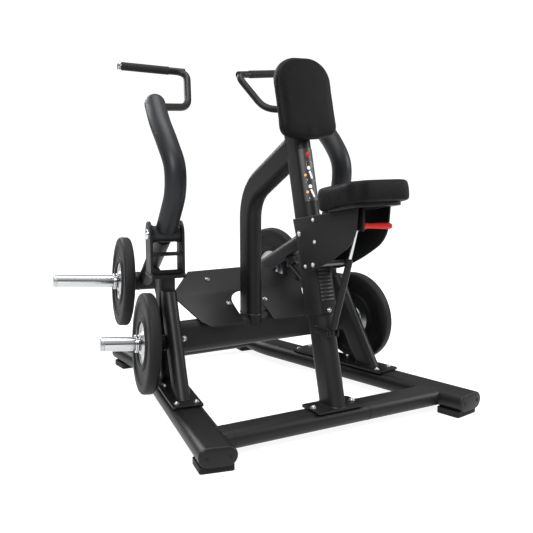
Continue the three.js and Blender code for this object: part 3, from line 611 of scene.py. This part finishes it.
def add_collar(use, side, load, root):
    """A spring collar: turns of wire with two folded tabs."""
    base = 3 + DISC_T + 3
    turns, per, wire = 2.6, 28, 3.2
    line = [V(((25.8 + wire) * math.cos(2 * math.pi * i / per),
               (25.8 + wire) * math.sin(2 * math.pi * i / per), base + wire + 5.0 * i / per))
            for i in range(int(turns * per) + 1)]
    rings = []
    for k, p in enumerate(line):
        t = (line[min(k + 1, len(line) - 1)] - line[max(k - 1, 0)]).normalized()
        out = V((p.x, p.y, 0)).normalized()
        up = t.cross(out).normalized()
        rings.append([p + (out * math.cos(a) + up * math.sin(a)) * wire
                      for a in (2 * math.pi * i / 12 for i in range(12))])
    tabs = []
    for angle in (0.35, 1.25):
        m = Matrix.Rotation(angle, 4, "Z")
        tabs.append(extrude([(27, -7), (56, -9), (59, 0), (56, 9), (27, 7)], 4,
                            m @ Matrix.Translation((0, 0, base + 2 + 8 * (angle > 1)))))
    piece(f"{use}_spring_{side}", load, CHROME, [loft(rings)], [f"{use}_collar_{side}"], root)
    piece(f"{use}_spring_tabs_{side}", load, PLASTIC, tabs, (), root, 1.2)


def add_sides():
    for side, sign in SIDES:
        place = side_place(sign)
        add_post(side, sign, place)
        add_bracket(side, place)
        add_arm(side, sign, place)
        add_load(side, sign, place)


# ---------- middle ----------
def column_at(z, back=0.0):
    """A point on the column's line, `back` behind it, square to it."""
    at = V((0, COLUMN_Y + COLUMN_LEAN * (z - COLUMN_Z), z))
    return at + V((0, -math.cos(COLUMN_ANGLE), math.sin(COLUMN_ANGLE))) * back


COLUMN_WAY = V((0, math.sin(COLUMN_ANGLE), math.cos(COLUMN_ANGLE)))
BACK = V((0, -math.cos(COLUMN_ANGLE), math.sin(COLUMN_ANGLE)))


def add_frame_middle():
    line = [V((-342, BEAM_Y, BEAM_Z)), V((342, BEAM_Y, BEAM_Z))]
    section = oval(TUBE_W, TUBE_T)
    piece("main_beam", "base", COAT, [sweep(section, line, Y)], ["cross_beam"])
    foot, bend = V((0, MAST_Y, 262)), V((0, MAST_Y, MAST_BEND_Z))
    reach = V((0, -290, 290 * MAST_SLOPE)).normalized()
    line = rounded_path([foot, bend, bend + reach * MAST_REACH], MAST_BEND_R, 16)
    piece("mast_tube", "base", COAT, [sweep(oval(MID_W, TUBE_T), line, X)], ["mast"])
    welds = [bead([V((x, MAST_Y - y, BEAM_Z + 60 - 0.06 * abs(y)))
                   for y, x in oval(MID_W, TUBE_T)], 3)]
    tube = between(oval(MID_W, TUBE_T), column_at(LEG_TOP), COLUMN_WAY, X, LEG_TOP + 4, 1150)
    plate = slab_z(rounded(188, 104, 12), 8, LEG_TOP + 0.3, 0, 125)
    loop = between(oval(MID_W, TUBE_T), column_at(LEG_TOP), COLUMN_WAY, X,
                   LEG_TOP + 9, LEG_TOP + 9.5)[0]
    welds.append(bead(loop[:len(loop) // 2], 3.5))
    piece("column_tube", "base", COAT, [tube], ())
    piece("column_plate", "base", COAT, [plate], ["column"], MACHINE, 1.2)
    piece("frame_welds", "base", COAT, welds)
    bolts = []
    for x in (-77, 77):
        bolts += bolt(V((x, 125, LEG_TOP + 8.3)), Z, 8.5)
    for x in (-300, 300):
        bolts += bolt(V((x, BEAM_Y - 30, BEAM_Z)), -Y, 8)
    piece("column_bolts", "base", STEEL, bolts)
    lugs = [slab_x([(GAS_FOOT.y - 12, 323), (GAS_FOOT.y + 78, 323), (GAS_FOOT.y + 78, 347),
                    (GAS_FOOT.y, 349), (GAS_FOOT.y - 12, 345)], 6, x)
            for x in (GAS_X - 15, GAS_X + 15)]
    piece("gas_lugs", "base", COAT, lugs, (), MACHINE, 1.0)
    board = Matrix.Translation(column_at(PAD_Z, MID_W / 2 - 4)) @ Matrix.Rotation(
        math.pi / 2 - COLUMN_ANGLE, 4, "X")
    piece("pad_plate", "base", COAT, [extrude(rounded(140, 230, 30), 7.5, board)], (), MACHINE, 1.0)


def add_cover():
    """The louvred cover on the column's rear."""
    z0, z1 = 378, 556
    inner, outer, rear = 30.3, 33.3, MID_W / 2 + 3
    shape = [(-40, -inner), (-40, -outer), (rear - 8, -outer), (rear - 1.5, -outer + 3),
             (rear + 1, -outer + 9), (rear + 1, outer - 9), (rear - 1.5, outer - 3),
             (rear - 8, outer), (-40, outer), (-40, inner), (rear - 9, inner),
             (rear - 2, inner - 7),
             (rear - 2, 7 - inner), (rear - 9, -inner)]
    line = [column_at(z0), column_at(z1)]
    piece("cover_shell", "base", PLASTIC, [sweep(shape, line, X)], ["column_cover"], MACHINE, 0.6)
    louvres, gap_shade = [], []
    for i in range(10):
        z = 420 + i * 12
        low, high = column_at(z, rear + 0.8), column_at(z + 7, rear + 0.8)
        nose = column_at(z + 0.5, rear + 6.5)
        rings = [[V((x, p.y, p.z)) for p in (low, nose, high)] for x in (-24, -22, 22, 24)]
        for k in (0, 3):
            rings[k][1] = rings[k][1].lerp((rings[k][0] + rings[k][2]) / 2, 0.8)
        louvres.append(loft(rings))
        # a thin dark strip on the shell under each louvre: painted shade standing for the gap
        # between louvres
        a, b = column_at(z - 4.6, rear + 1.1), column_at(z - 0.2, rear + 1.1)
        c = BACK * 0.4
        gap_shade.append(loft([[V((x, p.y, p.z)) for p in (a, b, b + c, a + c)] for x in (-22, 22)]))
    piece("cover_louvres", "base", GREY_PLASTIC, louvres, (), MACHINE, 0.3)
    piece("cover_gap_shade", "base", RUBBER_AND_GAP_SHADE, gap_shade)
    screw = bolt(column_at(388, rear + 1), BACK, 6)
    piece("cover_screw", "base", STEEL, screw)


def curved_patch(z0, z1, turn0, turn1, lift, thick=0.5, n=14, r=30.3):
    """A thin patch that follows the round rear of the column."""
    mid = (MID_W - TUBE_T) / 2
    rings = []
    for i in range(n + 1):
        a = turn0 + (turn1 - turn0) * i / n
        rings.append([column_at(z, mid + (r + rise) * math.cos(a)) + X * (r + rise) * math.sin(a)
                      for z, rise in ((z0, lift), (z1, lift),
                                       (z1, lift + thick), (z0, lift + thick))])
    return loft(rings)


def patch_shape(outline, lift, thick=0.4, r=30.3):
    """A small flat mark, given as (turn, z) points, laid on the placard."""
    mid = (MID_W - TUBE_T) / 2

    def at(a, z, rise):
        return column_at(z, mid + (r + rise) * math.cos(a)) + X * (r + rise) * math.sin(a)

    rings = [[at(a, z, lift + h) for a, z in outline] for h in (0, thick)]
    return loft(rings)


def mark_disc(turn_at, z, radius, n=20):
    return [(turn_at + radius / 31 * math.cos(2 * math.pi * i / n),
             z + radius * math.sin(2 * math.pi * i / n)) for i in range(n)]


def mark_bar(a, b, width):
    """A stroke between two (turn, z) points."""
    ax, az, bx, bz = a[0] * 31, a[1], b[0] * 31, b[1]
    length = math.hypot(bx - ax, bz - az)
    nx, nz = -(bz - az) / length * width / 2, (bx - ax) / length * width / 2
    return [((ax + nx) / 31, az + nz), ((bx + nx) / 31, bz + nz),
            ((bx - nx) / 31, bz - nz), ((ax - nx) / 31, az - nz)]


def add_placard():
    """A generic strip with no text: a red dot, four strokes and two plain stick figures."""
    piece("placard_strip", "base", PRINT, [curved_patch(742, 912, -1.02, 1.02, 0.1, 1.2)],
          ["placard"])
    lift = 1.3
    white, orange = [], []
    for z, lean in ((828, 0.0), (768, 0.25)):
        hip, neck = (0.1, z - 14), (-0.1 - lean * 0.4, z + 10)
        white.append(patch_shape(mark_bar(hip, neck, 7), lift))
        white.append(patch_shape(mark_disc(-0.14 - lean * 0.4, z + 20, 6), lift))
        white.append(patch_shape(mark_bar(hip, (-0.5, z - 18), 5), lift))
        white.append(patch_shape(mark_bar((0.5, z - 21), (-0.62, z - 25), 3), lift))
        orange.append(patch_shape(
            mark_bar((-0.08 - lean * 0.3, z + 5), (-0.55, z - 2 + lean * 20), 4), lift))
        orange.append(patch_shape(mark_disc(-0.6, z - 2 + lean * 20, 4.5), lift))
    for i in range(4):
        white.append(patch_shape(
            mark_bar((-0.35, 868 - 5 * i), (0.25 + 0.1 * (i % 2), 868 - 5 * i), 1.6), lift))
    piece("placard_marks", "base", MARK_WHITE, white, (), MACHINE, 0, 35, False)
    piece("placard_marks_warm", "base", MARK_ORANGE, orange, (), MACHINE, 0, 35, False)
    piece("placard_dot", "base", RED, [patch_shape(mark_disc(0, 892, 9, 28), lift)], (),
          MACHINE, 0, 35, False)


def add_footplate():
    def z_at(y):
        return 272 + (y - 606) * 0.6

    outline = [(-168, 880), (-286, 772), (-230, 636)]
    outline += [(-216 + 28 * t * t, 606 + 30 * (1 - t) ** 2) for t in (0.25, 0.5, 0.75, 1)]
    outline += [(-62, 606), (-62, 700)]
    outline += [(62 * math.cos(a), 700 + 62 * math.sin(a))
                for a in (math.pi - math.pi * i / 16 for i in range(1, 16))]
    outline += [(62, 700), (62, 606)]
    outline += [(216 - 28 * t * t, 606 + 30 * (1 - t) ** 2) for t in (1, 0.75, 0.5, 0.25)]
    outline += [(230, 636), (286, 772), (168, 880)]
    rings = [[V((x, y, z_at(y) + h)) for x, y in outline] for h in (0, 6)]
    piece("foot_plate", "base", COAT, [loft(rings)], ["footplate"], MACHINE, 1.5)
    stays = []
    for x in (-92, 92):
        side = [(BEAM_Y + 20, 246), (BEAM_Y + 20, z_at(BEAM_Y + 20) - 0.3), (862, z_at(862) - 0.3),
                (862, z_at(862) - 26)]
        stays.append(slab_x(side, 34, x))
    tie = [(832, z_at(832) - 0.3), (862, z_at(862) - 0.3), (862, z_at(862) - 26),
           (832, z_at(832) - 26)]
    stays.append(slab_x(tie, 200, 0))
    piece("foot_plate_stays", "base", COAT, stays, ["footplate_stays"], MACHINE, 1.5)
    up = V((0, -0.6, 1)).normalized()
    bolts = []
    for x, y in ((108, 830), (80, 703)):
        for sign in (-1, 1):
            bolts += bolt(V((sign * x, y, z_at(y) + 6 / up.z)), up, 7)
    piece("foot_plate_bolts", "base", STEEL, bolts)


# ---------- cushions ----------
def inflate(obj):
    """Swells a closed mesh as a stuffed cushion; no point goes further than PAD_SWELL mm."""
    remesh = obj.modifiers.new("remesh", "REMESH")
    remesh.mode = "VOXEL"
    remesh.voxel_size = 0.005
    bake(obj)
    start = [v.co.copy() for v in obj.data.vertices]
    cloth = obj.modifiers.new("cloth", "CLOTH")
    cloth.settings.quality = 5
    cloth.settings.mass = 0.3
    cloth.settings.tension_stiffness = 80
    cloth.settings.compression_stiffness = 80
    cloth.settings.shear_stiffness = 40
    cloth.settings.bending_stiffness = 8
    cloth.settings.use_pressure = True
    cloth.settings.uniform_pressure_force = PAD_PRESSURE
    cloth.settings.effector_weights.gravity = 0
    cloth.collision_settings.use_collision = False
    scene = bpy.context.scene
    for number in range(1, 21):
        scene.frame_set(number)
    bake(obj)
    scene.frame_set(1)
    for vertex, home in zip(obj.data.vertices, start):
        move = vertex.co - home
        if move.length > PAD_SWELL * MM:
            vertex.co = home + move.normalized() * PAD_SWELL * MM
    smooth = obj.modifiers.new("smooth", "SMOOTH")
    smooth.iterations = 4
    subdivide = obj.modifiers.new("subdivide", "SUBSURF")
    subdivide.levels = 1
    bake(obj)
    for polygon in obj.data.polygons:
        polygon.use_smooth = True


def cushion(name, node, body, outline, thick, place, crown, skirt=0.0):
    """A stuffed pad over a board: outline in x and y, its board side at z = 0.

    The board side drops by `skirt` at the +y end, where the cover wraps under."""
    n = len(outline)
    rings = []
    levels = ((0, -9), (1.5, -4), (5, -2), (thick * 0.5, -1), (thick - 12, -2.5), (thick - 5, -6),
              (thick - 1.5, -12))
    middle = V((sum(p[0] for p in outline) / n, sum(p[1] for p in outline) / n))
    for z, inset in levels:
        ring_points = []
        for x, y in outline:
            d = V((x, y)) - middle
            q = middle + d * (1 + inset / d.length)
            drop = skirt * max(0, q.y / 110) * (1 - z / thick)
            ring_points.append(V((q.x, q.y, z - drop)))
        rings.append(ring_points)
    for share in (0.75, 0.45, 0.15):
        rings.append([V((middle.x + (p.x - middle.x) * share, middle.y + (p.y - middle.y) * share,
                         thick - 1.5 + crown * (1 - share * share))) for p in rings[6]])
    obj = piece(name, body, VINYL, [loft(rings)], (), place)
    obj.parent = None
    inflate(obj)
    obj.data.materials.clear()
    obj.data.materials.append(VINYL)
    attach(obj, body)
    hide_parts(node)
    return obj


def chest_outline():
    w, h, big, small, bow = 107, 141, 84, 32, 14
    out = arc(w - big, h - big, big, 0, math.pi / 2, 14)
    out += arc(big - w, h - big, big, math.pi / 2, math.pi, 14)
    out += arc(small - w, small + bow - h, small, math.pi, 1.4 * math.pi, 7)
    a, b = V(out[-1]), V((-out[-1][0], out[-1][1]))
    low = V((0, -h - bow * 0.4))
    out += [tuple(a.lerp(low, i / 12).lerp(low.lerp(b, i / 12), i / 12)) for i in range(1, 12)]
    return out + arc(w - small, small + bow - h, small, 1.6 * math.pi, 2 * math.pi, 7)


def dense_outline(outline, step=10.0):
    out = []
    for a, b in zip(outline, outline[1:] + outline[:1]):
        a, b = V(a), V(b)
        count = max(1, round((b - a).length / step))
        out += [tuple(a.lerp(b, i / count)) for i in range(count)]
    return out


def add_cushions():
    chest = MACHINE @ Matrix.Translation(column_at(PAD_Z, MID_W / 2 + 4.3)) @ Matrix.Rotation(
        math.pi / 2 - COLUMN_ANGLE, 4, "X")
    cushion("chest_cushion", "chest_pad", "base", dense_outline(chest_outline()), 40, chest, 3)
    seat = MACHINE @ Matrix.Translation((0, SEAT_Y, SEAT_Z)) @ Matrix.Rotation(
        SEAT_TILT, 4, "X") @ Matrix.Translation((0, 0, 12.3))
    outline = dense_outline(rounded(222, 234, 50, 10))
    cushion("seat_cushion", "seat_pad", "seat", outline, 64, seat, 3, 9)


# ---------- seat carrier ----------
def under_board(y):
    return SEAT_Z + (y - SEAT_Y) * math.tan(SEAT_TILT) - 0.3


def add_seat():
    def bend(p0, c, p1, n=14):
        return [tuple(V(p0).lerp(V(c), i / n).lerp(V(c).lerp(V(p1), i / n), i / n))
                for i in range(1, n + 1)]

    outline = [(280, under_board(280)), (-74, under_board(-74)), (-70, 712)]
    outline += bend((-70, 712), (-66, 656), (-14, 624))
    outline += bend((-14, 624), (96, 556), (190, 531))
    outline += [(222, 529)]
    for side, sign in SIDES:
        piece(f"carrier_{side}", "seat", COAT, [slab_x(outline, 6, sign * 60)],
              [f"seat_plate_{side}"], MACHINE, 1.2)
    # painted shade: the chrome spacer gets a darkened metal for the shade between the carrier
    # plates
    piece("carrier_spacer", "seat", SHADED_SPACER_CHROME,
          [rod(9, (-58, SPACER_Y, SPACER_Z), (58, SPACER_Y, SPACER_Z))])
    board = MACHINE @ Matrix.Translation((0, SEAT_Y, SEAT_Z)) @ Matrix.Rotation(SEAT_TILT, 4, "X")
    piece("seat_deck", "seat", PLASTIC, [slab_z(rounded(170, 180, 30), 12, 0)], ["seat_board"],
          board, 1.5)
    head = gas_at(392)
    forks = [slab_x([(head.y - 14, under_board(head.y - 14)), (head.y - 14, head.z - 6),
                     (head.y - 8, head.z - 12), (head.y + 8, head.z - 12),
                      (head.y + 14, head.z - 6),
                     (head.y + 14, under_board(head.y + 14))], 6, x)
            for x in (GAS_X - 12, GAS_X + 12)]
    forks.append(box(-46, -40, -80, -46, 686, under_board(-63)))
    piece("seat_forks", "seat", COAT, forks, (), MACHINE, 1.0)
    solids = [rod(10, (-66, *SEAT_PIVOT), (66, *SEAT_PIVOT), 32)]
    piece("carrier_pin", "seat", STEEL, solids, ["seat_pivot_pin"])
    bolts = []
    for sign in (-1, 1):
        bolts += bolt(V((sign * 63, *SEAT_PIVOT)), (sign, 0, 0), 7)
        for y, z in ((159, 701), (149, 631), (200, 545)):
            bolts += bolt(V((sign * 63, y, z)), (sign, 0, 0), 5)
        bolts += bolt(V((sign * 63, SPACER_Y, SPACER_Z)), (sign, 0, 0), 6)
    piece("carrier_bolts", "seat", STEEL, bolts)


def gas_at(distance):
    return GAS_FOOT + (GAS_HEAD - GAS_FOOT).normalized() * distance


def add_gas_spring():
    profile = [(6.2, 262), (6.2, 60), (0.001, 60), (0.001, 12), (7, 12), (11, 16), (11, 256),
               (9.5, 260), (9.5, 266), (7.5, 268), (6.2, 268)]
    place = along(gas_at(10) - gas_at(0), gas_at(0))
    eye = ring(9, 4.5, 10, along(X, (GAS_X - 5, GAS_FOOT.y, GAS_FOOT.z)), 1)
    pin = rod(5, (GAS_X - 20, GAS_FOOT.y, GAS_FOOT.z), (GAS_X + 20, GAS_FOOT.y, GAS_FOOT.z), 24)
    neck = rod(5, gas_at(7), gas_at(14), 20)
    piece("spring_body", "gas_cylinder", COAT,
          [turn(profile + profile[:1], place, 40), eye, pin, neck], ["gas_cylinder"])
    head = gas_at(392)
    eye = ring(8.5, 4.5, 10, along(X, (GAS_X - 5, head.y, head.z)), 1)
    pin = rod(5, (GAS_X - 17, head.y, head.z), (GAS_X + 17, head.y, head.z), 24)
    solids = [rod(5, gas_at(150), gas_at(385), 28), rod(7, gas_at(366), gas_at(380), 6), eye, pin]
    piece("spring_rod", "gas_rod", CHROME, solids, ["gas_rod"])


def add_lever():
    a, b = V((-34, -62, 701)), V((49, -98, 699))
    length = (b - a).length
    profile = [(0.001, 0), (9, 0), (10, 1), (10, 10), (8.6, 13), (8, 20), (8.8, 40), (9.4, 62),
               (9.2, length - 8), (7, length - 2), (3, length), (0.001, length)]
    piece("lever_grip", "release_lever", RED, [turn(profile + profile[:1], along(b - a, a), 40)],
          ["release_lever"])


# ---------- stage ----------
# the camera, fitted to the photograph: millimetres of lens, metres, degrees
PHOTO_LENS = 55.09
CAMERA_X, CAMERA_Y, CAMERA_Z = -1.5103, -1.9967, 0.9566
CAMERA_TILT, CAMERA_PAN = 8.9, 30.6
BACKDROP = 1.05  # how bright the empty background is to the camera


def add_stage():
    floor_mat = node_material("studio_floor", (0.3, 0.3, 0.3), 0.85, 0, spread=0.01, bump=0.01,
                              sockets={"Emission Color": (1, 1, 1, 1), "Emission Strength": 0.9})
    mesh = bpy.data.meshes.new("floor")
    size = 14
    mesh.from_pydata([(-size, -size, 0), (size, -size, 0), (size, size, 0), (-size, size, 0)], [],
                     [(0, 1, 2, 3)])
    floor = bpy.data.objects.new("floor", mesh)
    bpy.context.scene.collection.objects.link(floor)
    floor.data.materials.append(floor_mat)
    camera_data = bpy.data.cameras.new("camera")
    camera_data.lens = PHOTO_LENS
    camera_data.sensor_width = 36
    camera_data.clip_end = 60
    camera = bpy.data.objects.new("camera", camera_data)
    camera.location = (CAMERA_X, CAMERA_Y - HALF_LENGTH * MM, CAMERA_Z)
    camera.rotation_euler = (math.radians(90 - CAMERA_TILT), 0, math.radians(-CAMERA_PAN))
    bpy.context.scene.collection.objects.link(camera)
    bpy.context.scene.camera = camera
    lights = (("key", (-3.2, -2.6, 3.6), 230, 2.2), ("fill", (3.4, -2.0, 2.4), 110, 1.8),
              ("top", (0, 0.2, 4.4), 110, 2.4), ("rear", (-1.0, 4.2, 2.8), 120, 2.0))
    for name, at, power, size in lights:
        data = bpy.data.lights.new(name, "AREA")
        data.energy = power
        data.size = size
        light = bpy.data.objects.new(name, data)
        light.location = at
        light.rotation_euler = (V((0, 0, 0.5)) - V(at)).to_track_quat("-Z", "Y").to_euler()
        bpy.context.scene.collection.objects.link(light)
    world = bpy.data.worlds.new("studio")
    world.use_nodes = True
    tree = world.node_tree
    link = tree.links.new
    coords = tree.nodes.new("ShaderNodeTexCoord")
    split = tree.nodes.new("ShaderNodeSeparateXYZ")
    link(coords.outputs["Generated"], split.inputs["Vector"])
    height = tree.nodes.new("ShaderNodeMapRange")
    height.inputs["From Min"].default_value = -1
    link(split.outputs["Z"], height.inputs["Value"])
    ramp = tree.nodes.new("ShaderNodeValToRGB")
    stops = ((0.0, 0.5), (0.46, 0.42), (0.5, 0.16), (0.6, 0.12), (0.72, 0.5), (1.0, 1.0))
    elements = ramp.color_ramp.elements
    while len(elements) < len(stops):
        elements.new(0.5)
    for element, (position, grey) in zip(elements, stops):
        element.position = position
        element.color = (grey, grey, grey, 1)
    link(height.outputs["Result"], ramp.inputs["Fac"])
    seen = tree.nodes.new("ShaderNodeLightPath")
    mix = tree.nodes.new("ShaderNodeMix")
    mix.data_type = "RGBA"
    mix.inputs["B"].default_value = (BACKDROP, BACKDROP, BACKDROP, 1)
    link(seen.outputs["Is Camera Ray"], mix.inputs["Factor"])
    link(ramp.outputs["Color"], mix.inputs["A"])
    link(mix.outputs["Result"], tree.nodes["Background"].inputs["Color"])
    bpy.context.scene.world = world
    bpy.context.scene.view_settings.view_transform = "Standard"


add_stage()
add_base()
add_sides()
add_frame_middle()
add_cover()
add_placard()
add_footplate()
add_seat()
add_gas_spring()
add_lever()
add_cushions()
